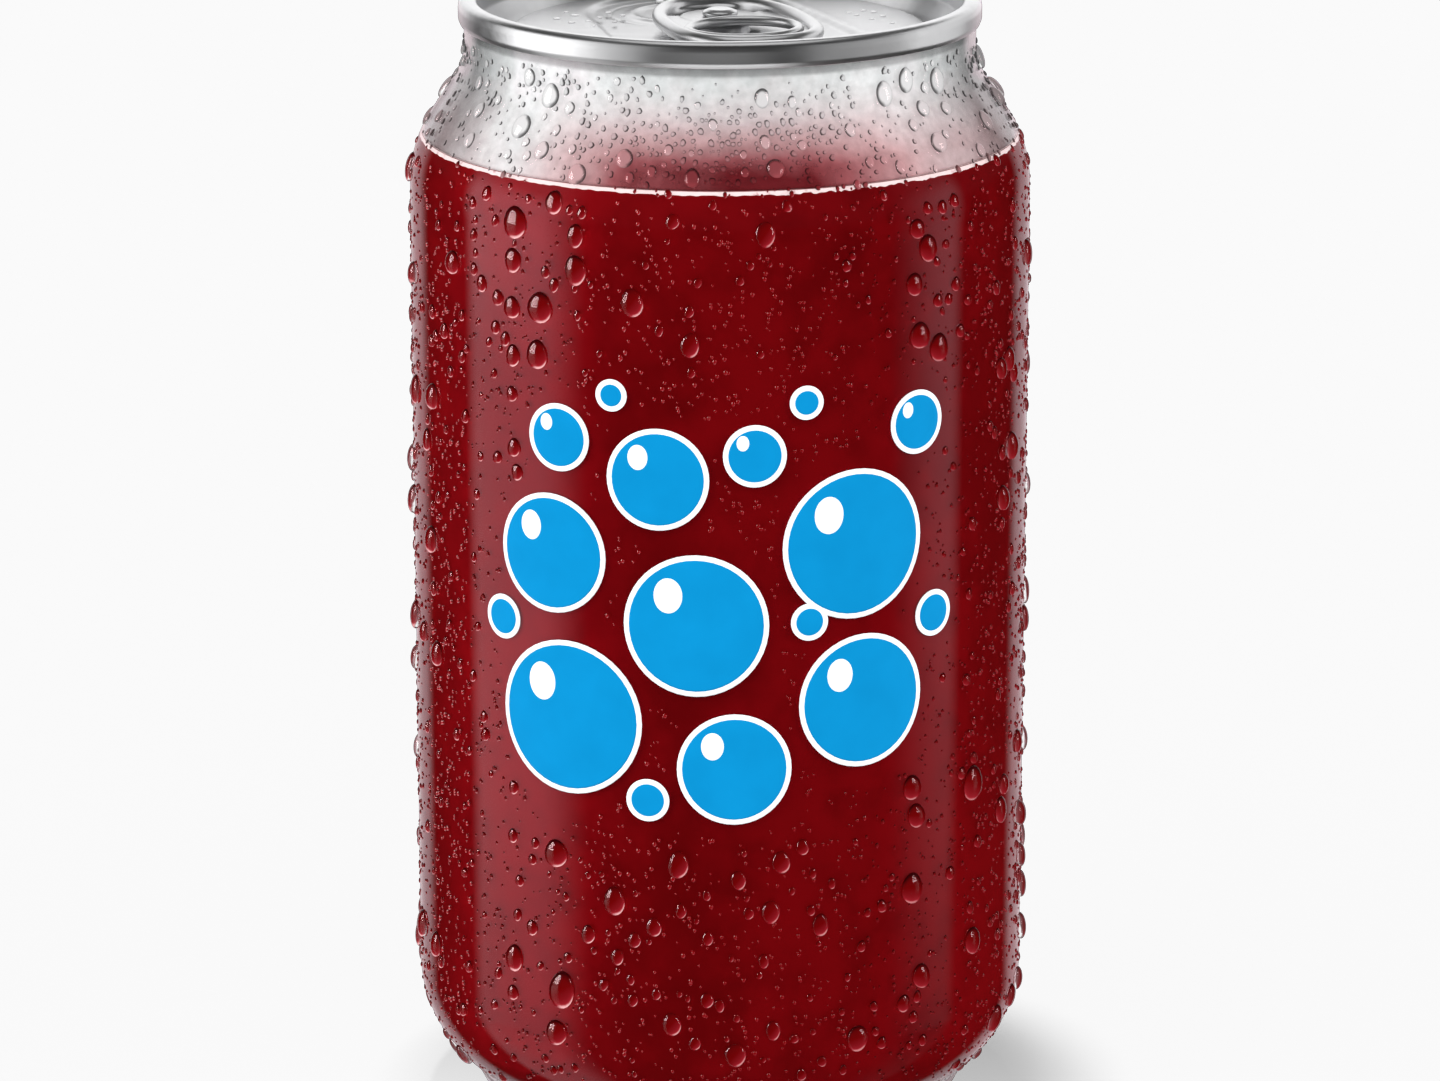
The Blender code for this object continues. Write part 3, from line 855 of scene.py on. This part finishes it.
def random_drops(count, low, high, power, heights):
    """Random places and half widths, the largest first: low to high as a share to a power."""
    size = np.sort(low + (high - low) * rng.random(count) ** power)[::-1]
    round_wall = (rng.random(count) - 0.5) * 2 * HALF_ROUND
    return np.stack([round_wall, rng.uniform(*heights, count)], axis=1), size


def beside_print(place):
    """Where a place is off the whole field of the print, front and back."""
    from_middle = np.abs((place[:, 0] + HALF_ROUND / 2) % HALF_ROUND - HALF_ROUND / 2)
    height = place[:, 1]
    return (from_middle > PRINT_REACH) | (height < PRINT_SPAN[0]) | (height > PRINT_SPAN[1])


def on_bands(place, middle):
    """Where the size of the bearing's sine is from 0.8 to 0.94, or below middle."""
    sine = np.abs(np.sin(place[:, 0] / BODY_RADIUS))
    return (sine < middle) | ((sine > 0.8) & (sine < 0.94))


def rooted(points, sides):
    """A unit piece: its points, which of them are its root, and its faces.

    The points are rings, of which the last is the root, and then the top and the root's pole.
    """
    is_root = np.zeros(len(points))
    is_root[-sides - 2 : -2] = 1
    is_root[-1] = 1
    return points, is_root, capped((len(points) - 2) // sides, sides)


def drop_shape(sides, rows):
    """A unit drop, with points (across, along, out).

    Down the rows a share q goes from the crown to the rim. The reach from the middle is the sine
    of q quarter turns, and the height is the cosine of it to the power 0.85. The crown lies lower
    than the middle by 0.18 of the height.
    """
    q = np.linspace(0, 1, rows + 1)[1:, None]
    a = full_turn(sides)
    reach = np.sin(q * np.pi / 2)
    height = np.cos(q * np.pi / 2).clip(0, 1) ** 0.85
    rings = np.stack(
        [reach * np.cos(a), reach * np.sin(a) - 0.18 * height, height + 0 * a], axis=-1
    ).reshape(-1, 3)
    root = rings[-sides:] * (0.97, 0.97, 0)
    return rooted(np.concatenate([rings, root, [(0, -0.18, 1)], [(0, 0, 0)]]), sides)


def shade_shape(sides):
    """A unit disc for under a drop: rings at growing shares of its rim, then the root ring."""
    shares = np.array([0.3, 0.55, 0.75, 0.88, 0.97, 0.97])[:, None]
    a = full_turn(sides)
    rings = np.stack([shares * np.cos(a), shares * np.sin(a), 0 * shares + 0 * a], axis=-1)
    return rooted(np.concatenate([rings.reshape(-1, 3), np.zeros((2, 3))]), sides)


class Dew:
    """Drops of one kind: where each is, and how wide, tall, thick and uneven it is.

    light is how bright their painted light is over the mist.
    """

    def __init__(self, place, size, uneven, light=1.0):
        count = len(place)
        self.place, self.size, self.uneven, self.light = place, size, uneven, light
        self.tall = 1.15 + 0.2 * rng.random(count)[:, None]
        self.thick = 0.5 + 0.2 * rng.random(count)[:, None]
        self.phase = rng.random((count, 2)) * 2 * np.pi

    def laid(self, name, shape, lift=0.0, root=DROP_ROOT):
        """One piece of copies of a unit shape, stretched to each drop and laid on the wall.

        The outline swells and shrinks by two waves of the bearing, two and three to a turn.
        """
        unit, is_root, faces = shape
        bearing = np.arctan2(unit[:, 1], unit[:, 0])
        waves = np.cos(2 * bearing + self.phase[:, :1])
        waves = waves + 0.7 * np.cos(3 * bearing + self.phase[:, 1:])
        wobble = 1 + self.uneven * waves
        size = self.size[:, None]
        across = size * unit[:, 0] * wobble
        along = size * self.tall * unit[:, 1] * wobble
        out = size * self.thick * unit[:, 2] + np.where(is_root > 0, -root, lift)
        radius = np.interp(self.place[:, 1], wall_points[:, 1], wall_points[:, 0])[:, None]
        angle = self.place[:, :1] / BODY_RADIUS + across / radius
        points = on_wall(angle, along_at(self.place[:, 1])[:, None] + along, out)
        piece = put(name, points.reshape(-1, 3), copies(faces, len(size), len(unit)))
        for kind, values in self.tones(unit):
            paint(piece, kind, values.ravel())
        return piece

    def tones(self, unit):
        """What each point shows: painted light, whiteness, and 1 over the mist, 0 over the drink.

        Over the drink a drop has painted shade at its upper rim and a painted bright crescent
        at its lower rim, where the light through it gathers. Over the mist it has a painted dark
        rim, a painted dark crescent towards the can's middle and a painted glint on the other side.
        """
        height = self.place[:, 1:]
        angle = self.place[:, :1] / BODY_RADIUS
        sine = np.sin(angle)
        foot = smooth(height, 7.6, 6.0)
        off_drink = np.maximum(smooth(height, 107.6, 108.4), foot)
        white = np.maximum(mist_white(height, angle), foot)
        reach = np.hypot(unit[:, 0], unit[:, 1])
        along = unit[:, :2] / np.maximum(reach, 1e-6)[:, None]
        right = np.interp(sine, [-1, -0.7, -0.26, 0.17, 0.65, 1], [0, 0.3, 0.7, 0.7, -0.2, -0.6])
        facing = along[:, 0] * right - along[:, 1] * np.sqrt(1 - right**2)
        gleam = np.interp(sine, [-1, -0.7, -0.3, 0, 0.4, 1], [0.46, 0.48, 0.4, 0.3, 0.26, 0.2])
        # painted light: the bright crescent at the lower rim; painted shade: the dark upper rim
        crescent = smooth(reach, 0.7, 0.9) * smooth(facing, 0.5, 0.95) * gleam
        dark = smooth(reach, 0.55, 0.95) * smooth(-facing, -0.3, 0.7)
        dark = dark * np.interp(np.abs(sine), [0.25, 0.5], [0.08, 0.3])
        on_drink = 0.35 + 0.16 * reach * facing + crescent - dark
        inward = -np.clip(3 * sine, -1, 1)
        facing = along[:, 0] * inward + along[:, 1] * np.sqrt(1 - inward**2)
        # painted shade over the mist: a dark crescent and rim, with a painted glint opposite
        shadow = smooth(reach, 0.6, 0.8) * smooth(facing, -0.1, 0.5)
        glint = 0.3 * smooth(reach, 0.45, 0.7) * smooth(-facing, 0.3, 0.8) * smooth(white, 0.6, 0.1)
        on_mist = mist_light(angle) * (
            0.74 + glint - 0.35 * smooth(reach, 0.8, 0.95) - 0.68 * shadow
        )
        on_mist = np.maximum(on_mist, 0.08) * self.light
        tone = on_drink * (1 - off_drink) + on_mist * off_drink
        return [("tone", tone), ("white", white + 0 * reach), ("off_drink", off_drink + 0 * reach)]


behind = PLACED[PLACED[:, 1] < 88] + (HALF_ROUND, 0, 0)
listed = np.concatenate([PLACED, behind])
listed = listed[np.argsort(-listed[:, 2], kind="stable")]
listed_place, listed_size = settled(listed[:, :2], listed[:, 2])
place, size = random_drops(700, 0.7, 1.25, 2.0, (7, 116))
kept = beside_print(place) & (np.abs(place[:, 0]) > 36)
place, size = settled(place[kept], size[kept], listed_place, listed_size)
large_place = np.concatenate([listed_place, place[:LARGE_AT_RANDOM]])
large_size = np.concatenate([listed_size, size[:LARGE_AT_RANDOM]])
large = Dew(large_place, large_size, 0.035)
place, size = random_drops(1500, 0.26, 0.62, 1.9, (5.5, 118.5))
kept = beside_print(place)
middle = Dew(*settled(place[kept], size[kept], large_place, large_size), 0.07)
every_place = np.concatenate([large.place, middle.place])
every_size = np.concatenate([large.size, middle.size])
place, size = random_drops(15000, 0.1, 0.26, 1.7, (5, 107))
kept = on_bands(place, 0) | (rng.random(len(size)) < 0.8)
place, size = settled(place[kept], size[kept], every_place, every_size, 0.3)
gleaming = on_bands(place, 0.46)
fine = Dew(place[gleaming][:FINE_MOST], size[gleaming][:FINE_MOST], 0.08)
dull_place, dull_size = place[~gleaming][:DULL_MOST], size[~gleaming][:DULL_MOST]
neck_place, neck_size = random_drops(9500, 0.11, 0.36, 1.8, (107.6, 118.6))
towards_front = np.exp(-((neck_place[:, 0] / 14) ** 2) - ((neck_place[:, 1] - 112.3) / 2.7) ** 2)
kept = rng.random(len(neck_size)) < 0.1 + 0.9 * towards_front
neck_place, neck_size = settled(neck_place[kept], neck_size[kept], every_place, every_size, 0.3)
dull = Dew(dull_place, dull_size, 0.08)
neck_fine = Dew(neck_place, neck_size, 0.12, 0.85)

water, shade = finish(
    "water",
    {"Base Color": (1, 1, 1, 1), "Roughness": 0.1, "IOR": 1.333, "Transmission Weight": 1.0},
)
shade.roughen(shade.noise(500.0, 1.0), 0.00001)
drop_shade, under_drops = finish("drop_shade", {"Roughness": 0.3, "IOR": 1.05})
fine_water, on_fine = finish("fine_water", {"Roughness": 0.15, "IOR": 1.45})
# painted light and shade of the drops over the drink, from a dark rim to a bright crescent
DRINK_TONES = [
    (0.0, (0.02, 0.0002, 0.0005, 1)),
    (0.35, (0.11, 0.0005, 0.001, 1)),
    (0.6, (0.26, 0.012, 0.02, 1)),
    (0.95, (0.8, 0.4, 0.41, 1)),
]
for shade in (under_drops, on_fine):
    tone = shade.painted("tone")
    over_drink = tone.ramp(DRINK_TONES)
    over_mist = shade.painted("white").ramp(MIST_COLOURS)
    shade.give("Base Color", shade.painted("off_drink").mix(over_drink, over_mist.scaled(tone)))
    shade.roughen(shade.noise(2500.0, 1.0), 0.00001)

# a few drops lie on the end's panel: across, along and half width of each
END_DROPS = np.array([
    (-15.5, 6.5, 0.5), (-14.0, 3.2, 0.35), (-12.8, 5.4, 0.3), (-15.8, 2.4, 0.4),
    (-11.2, 3.0, 0.28), (-17.4, 4.6, 0.45), (-10.4, 6.6, 0.3), (-13.4, 0.6, 0.3),
    (-12.0, 8.2, 0.35), (-16.5, 8.5, 0.3), (14.6, 6.8, 0.35), (16.2, 4.5, 0.3),
    (17.4, 6.2, 0.4), (18.3, 2.2, 0.3), (15.4, 9.4, 0.35), (13.8, 8.2, 0.3),
    (16.5, 8.6, 0.4), (-6.5, 15.0, 0.45), (9.5, 16.5, 0.4), (3.5, 18.2, 0.3),
    (15.5, -8.0, 0.35), (-1.0, -19.4, 0.35),
])
unit, is_root, faces = drop_shape(16, 6)
size = END_DROPS[:, 2:]
points = np.stack(
    [
        END_DROPS[:, :1] + size * unit[:, 0],
        END_DROPS[:, 1:2] + size * unit[:, 1],
        PANEL_HEIGHT + 0.4 * size * unit[:, 2] - DROP_ROOT * is_root,
    ],
    axis=-1,
)
end_drops = put("end_drops", points.reshape(-1, 3), copies(faces, len(END_DROPS), len(unit)))
reach = np.hypot(unit[:, 0], unit[:, 1])
# painted shade: each drop on the end has a dark crescent and a darker rim
shadow = smooth(reach, 0.5, 0.85) * smooth(unit[:, 1] - 0.3 * unit[:, 0], 0.1, 0.7)
tone = 0.9 - 0.62 * shadow - 0.25 * smooth(reach, 0.85, 0.97)
for kind, values in (("tone", tone), ("white", 1 + 0 * tone), ("off_drink", 1 + 0 * tone)):
    paint(end_drops, kind, np.tile(values, len(END_DROPS)))
large_drops = large.laid("large_drops", drop_shape(24, 9))
middle_drops = middle.laid("middle_drops", drop_shape(12, 5))
large_shades = large.laid("large_drop_shades", shade_shape(20), SHADE_OUT, SHADE_ROOT)
middle_shades = middle.laid("middle_drop_shades", shade_shape(12), SHADE_OUT, SHADE_ROOT)
fine_drops = fine.laid("fine_drops", drop_shape(5, 2))
dull_drops = dull.laid("dull_fine_drops", drop_shape(5, 2))
neck_drops = neck_fine.laid("neck_fine_drops", drop_shape(8, 3))
for pieces, material in (
    ([large_drops, middle_drops], water),
    ([large_shades, middle_shades], drop_shade),
    ([fine_drops, dull_drops, neck_drops, end_drops], fine_water),
):
    hide(pieces, "shadow")
    for piece in pieces:
        piece.data.materials.append(material)
hide([large_drops, middle_drops], "diffuse")


# The studio: a pale floor that shows only its shadows, soft boxes round the can, and a surround
# that is white behind the can and dark in front of it, so that the clear wall stays deep.
FLOOR_WHITE = 0.956
floor_sheet = bpy.data.meshes.new("studio_floor")
floor_sheet.from_pydata([(-4, -4, 0), (4, -4, 0), (4, 4, 0), (-4, 4, 0)], [], [(0, 1, 2, 3)])
studio_floor = bpy.data.objects.new("studio_floor", floor_sheet)
scene.collection.objects.link(studio_floor)
floor_finish, shade = finish("floor", {"Roughness": 0.6})
shade.give("Base Color", shade.noise(3.0).mix((0.9, 0.9, 0.9, 1), (0.92, 0.92, 0.92, 1)))
studio_floor.data.materials.append(floor_finish)
studio_floor.is_shadow_catcher = True
hide([studio_floor], "glossy", "transmission", "diffuse")

FILL = 1.08
world = bpy.data.worlds.new("studio")
world.use_nodes = True
world.cycles.sampling_method = "NONE"
scene.world = world
tree = world.node_tree
shade = Shade(tree)
view = shade.node("ShaderNodeTexCoord", output="Generated")
across, away, up = (shade.node("ShaderNodeSeparateXYZ", {}, {0: view}, n) for n in range(3))
bearing = shade.math("DEGREES", shade.math("ARCTAN2", across, -1 * away))
side = shade.math("ABSOLUTE", bearing)


def arc(start, full, fade, end):
    """1 between the bearings full and fade in degrees, from the left, and 0 beyond the others."""
    return bearing.step(start, full) * bearing.step(end, fade)


left_fall = 0.5 + 0.3 * up.step(-0.4, -0.28) + 0.3 * up.step(-0.24, -0.21)
left_strip = arc(-110, -101, -72, -49) * left_fall
right_strip = arc(64, 93, 94, 103) * (0.1 + 0.9 * up.step(-0.42, -0.22))
low = up.step(0.6, 0.4)
at_edges = side.step(138, 150)
edge_glow = at_edges * (0.75 + 0.25 * side.step(150, 172))
strips = 1.12 * left_strip + 0.6 * right_strip
mirrored = low * (strips * (0.3 + 0.7 * up.step(0.35, 0.12)) + 0.76 * edge_glow)
mirrored = mirrored + 0.006 + 0.02 * up.step(0.0, 0.1)
flag = side.step(95, 115) * side.step(158, 140)
seen_through = 0.93 * (1 - 0.6 * flag)
is_camera, diffuse, glossy = (
    shade.node("ShaderNodeLightPath", output=kind)
    for kind in ("Is Camera Ray", "Diffuse Depth", "Glossy Depth")
)
diffuse, glossy = diffuse.step(0.4, 0.6), glossy.step(0.4, 0.6)
clear_or_mirrored = seen_through * (1 - glossy) + mirrored * glossy
not_camera = clear_or_mirrored * (1 - diffuse) + FILL * diffuse
background = tree.nodes["Background"]
rosy = glossy * up.step(0.05, -0.05) * at_edges
shade.feed(background.inputs["Color"], rosy.mix((1, 1, 1, 1), (1.06, 0.92, 0.96, 1)))
shade.feed(background.inputs["Strength"], not_camera * (1 - is_camera) + FLOOR_WHITE * is_camera)


def receivers(name, pieces, state="INCLUDE"):
    """A named group of pieces that lamps light alone, or that they leave out."""
    group = bpy.data.collections.new(name)
    for piece in pieces:
        group.objects.link(piece)
    for entry in group.collection_objects:
        entry.light_linking.link_state = state
    return group


off_floor = receivers("all_but_floor", [studio_floor], "EXCLUDE")
on_floor = receivers("floor_only", [studio_floor])
on_drops = receivers("drops_only", [large_drops, middle_drops, fine_drops])
on_end = receivers("end_only", [can_end, rivet, pull_tab])

WHITE = (1.0, 1.0, 1.0)
PINK = (1.0, 0.75, 0.76)
CAN_MIDDLE = (0, 0, 0.06)
SEAM_FRONT = (0, -0.027, 0.12)


def soft_box(
    name, place, size, watts, lit, colour=WHITE, mirrored=False, shadow=True, aim=CAN_MIDDLE
):
    """An area lamp that faces a place on the can or the floor and lights one group of pieces."""
    lamp = bpy.data.lights.new(name, "AREA")
    lamp.shape = "RECTANGLE"
    lamp.size, lamp.size_y = size
    lamp.energy = watts
    lamp.color = colour
    lamp.use_shadow = shadow
    made = bpy.data.objects.new(name, lamp)
    made.location = place
    made.rotation_mode = "QUATERNION"
    away = made.location.copy()
    for n in range(3):
        away[n] -= aim[n]
    made.rotation_quaternion = away.to_track_quat("Z", "Y")
    made.visible_glossy = mirrored
    made.visible_transmission = False
    made.light_linking.receiver_collection = lit
    scene.collection.objects.link(made)


soft_box("soft_box_left", (-0.8, -0.48, 0.45), (0.5, 0.8), 6.8, off_floor)
soft_box("soft_box_right", (0.82, -0.38, 0.35), (0.4, 0.7), 4.4, off_floor)
soft_box("soft_box_back", (0.0, 0.8, 0.5), (0.6, 0.5), 3.6, off_floor)
for name, place, size, watts, shadow, aim in (
    ("end_light_left", (-0.57, -0.19, 0.1), (0.95, 0.6), 0.95, True, CAN_MIDDLE),
    ("end_light_right", (0.5, -0.33, 0.1), (0.4, 0.5), 0.2, True, CAN_MIDDLE),
    ("end_light_far", (0.55, 0.23, 0.15), (0.45, 0.7), 0.75, True, CAN_MIDDLE),
    ("end_light_back", (0.0, 0.8, 0.32), (1.7, 0.75), 1.9, True, CAN_MIDDLE),
    ("end_light_back_fill", (0.0, 0.8, 0.32), (1.7, 0.75), 0.7, False, CAN_MIDDLE),
    ("end_light_low", (0.0, -0.13, 0.0), (0.16, 0.08), 0.04, False, SEAM_FRONT),
    ("end_light_front", (0.0, -0.6, 0.06), (0.4, 0.2), 0.06, False, SEAM_FRONT),
    ("end_light_top", (0.0, 0.0, 1.0), (0.8, 0.8), 1.4, True, CAN_MIDDLE),
):
    soft_box(name, place, size, watts, on_end, WHITE, True, shadow, aim)
soft_box("drop_light_left", (-0.62, -0.16, 0.3), (0.45, 0.5), 11.0, on_drops, PINK, True)
soft_box("drop_light_right", (0.62, -0.22, 0.3), (0.3, 0.4), 3.5, on_drops, PINK, True)
soft_box("floor_shadow", (-0.03, 0.01, 1.06), (0.11, 0.11), 100.0, on_floor, aim=(0, 0, 0))
for name, x, z, watts in (
    ("floor_glow_left", -0.042, 0.045, 1.7),
    ("floor_glow_right", 0.07, 0.035, 0.55),
):
    aim = (x, -0.029, 0)
    soft_box(name, (x, -0.03, z), (0.01, 0.01), watts, on_floor, shadow=False, aim=aim)

lens = bpy.data.cameras.new("camera")
lens.sensor_width = 36.0
lens.lens = 149.0
lens.clip_start = 0.05
camera = bpy.data.objects.new("camera", lens)
camera.location = (0, -0.6227, 0.2362)
camera.rotation_euler = (np.pi / 2 - 0.272, 0, 0)
scene.collection.objects.link(camera)
scene.camera = camera
scene.view_settings.view_transform = "Standard"
